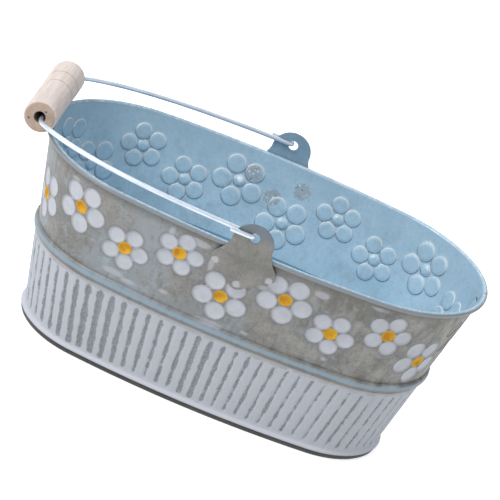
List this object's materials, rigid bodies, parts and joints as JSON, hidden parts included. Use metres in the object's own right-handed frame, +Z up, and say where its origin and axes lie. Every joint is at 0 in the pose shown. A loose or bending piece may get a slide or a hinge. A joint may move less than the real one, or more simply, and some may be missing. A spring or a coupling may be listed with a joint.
{
  "type": "flower bucket",
  "caption": "Oval tapered zinc bucket with pressed flowers above a ribbed lower part, welded ears, a swinging wire bail and a turned wooden grip.",
  "frame": {"origin": "middle of the footprint at the foot's underside, with the bail laid down to the left", "axes": "+Z up, X along the oval's long axis with the grip at the -X end at rest, Y across from ear to ear"},
  "size_m": [0.3122, 0.1748, 0.1498],
  "materials": {
    "zinc_wall": "weathered zinc, flowers and ribs brushed with white paint outside",
    "zinc_base": "dull dark zinc",
    "zinc_ear": "satin zinc",
    "bail_steel": "bright galvanised wire",
    "grip_wood": "pale turned wood, unvarnished"
  },
  "bodies": {
    "bucket": {"wall_front": "zinc_wall", "wall_back": "zinc_wall", "base_pan": "zinc_base", "ear_front": "zinc_ear", "ear_back": "zinc_ear"},
    "bail": {"bail_wire": "bail_steel"},
    "grip": {"wood_grip": "grip_wood"}
  },
  "joints": [
    {"name": "bail_swing", "type": "hinge", "parent": "bucket", "child": "bail", "pos_m": [0.00516, 0, 0.13874], "axis": [0, 1, 0], "range_deg": [0, 180]},
    {"name": "grip_spin", "type": "hinge", "parent": "bail", "child": "grip", "pos_m": [-0.14505, 0, 0.13872], "axis": [0, 1, 0], "continuous": true}
  ]
}
